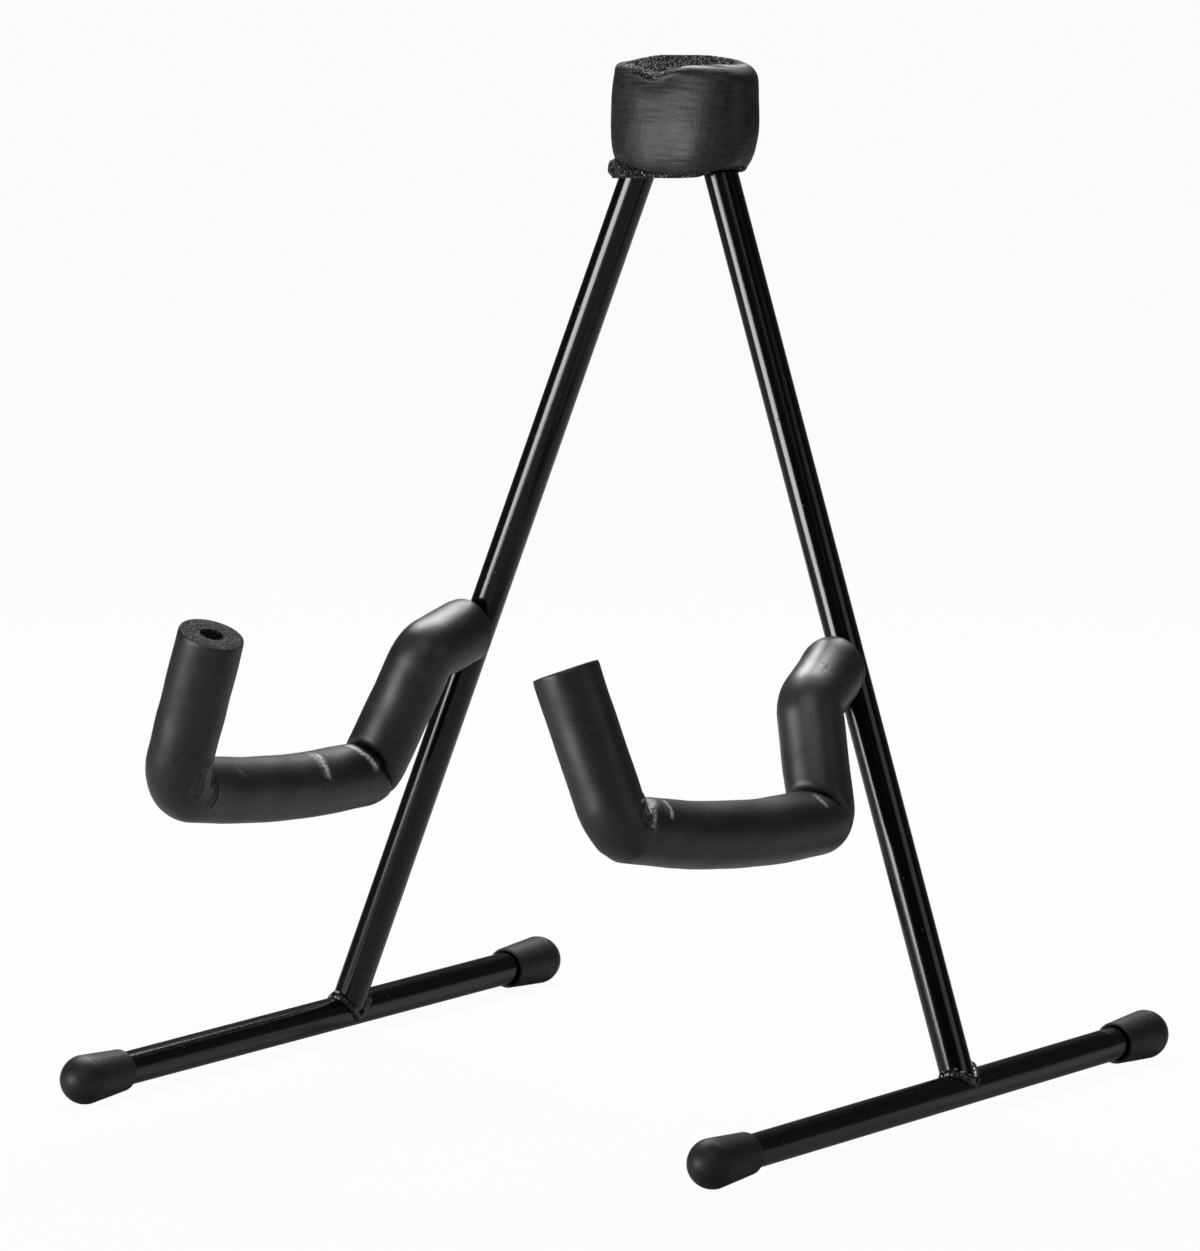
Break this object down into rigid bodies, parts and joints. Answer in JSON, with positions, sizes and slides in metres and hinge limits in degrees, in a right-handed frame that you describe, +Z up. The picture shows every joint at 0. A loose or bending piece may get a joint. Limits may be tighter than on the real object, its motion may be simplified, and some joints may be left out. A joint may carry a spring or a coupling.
{
  "type": "ukulele stand",
  "caption": "Folding A-frame stand for a ukulele: black steel side frames with foam-sleeved hooks and rubber-capped feet, riveted to a hinge bracket under a foam cuff.",
  "frame": {"origin": "on the floor, in the middle of the open stand's footprint", "axes": "+Z up, -Y to the front where the instrument stands, +X to the stand's right side as seen in the picture from the front"},
  "size_m": [0.2354, 0.2558, 0.3014],
  "materials": {
    "powder_coat": "gloss black powder coat on steel",
    "coated_weld": "rough weld bead under black powder coat",
    "foam": "black closed-cell foam with a satin skin and porous cut ends",
    "cap_rubber": "matte black moulded rubber",
    "zinc_plate": "zinc-plated steel rivet"
  },
  "bodies": {
    "hinge": {"hinge_bracket": "powder_coat", "left_hinge_rivet": "zinc_plate", "right_hinge_rivet": "zinc_plate", "top_cuff": "foam"},
    "left_leg": {"left_upright_tube": "powder_coat", "left_foot_tube": "powder_coat", "left_foot_weld": "coated_weld", "left_hook_rod": "powder_coat", "left_hook_weld": "coated_weld", "left_hook_sleeve": "foam", "left_front_cap": "cap_rubber", "left_rear_cap": "cap_rubber"},
    "right_leg": {"right_upright_tube": "powder_coat", "right_foot_tube": "powder_coat", "right_foot_weld": "coated_weld", "right_hook_rod": "powder_coat", "right_hook_weld": "coated_weld", "right_hook_sleeve": "foam", "right_front_cap": "cap_rubber", "right_rear_cap": "cap_rubber"}
  },
  "joints": [
    {"name": "left_leg_fold", "type": "hinge", "parent": "hinge", "child": "left_leg", "pos_m": [-0.00743, 0.03565, 0.28746], "axis": [0, -0.9978, 0.0663], "range_deg": [0, 17.8]},
    {"name": "right_leg_fold", "type": "hinge", "parent": "hinge", "child": "right_leg", "pos_m": [0.00743, 0.03565, 0.28746], "axis": [0, 0.9978, -0.0663], "range_deg": [0, 17.8]}
  ]
}
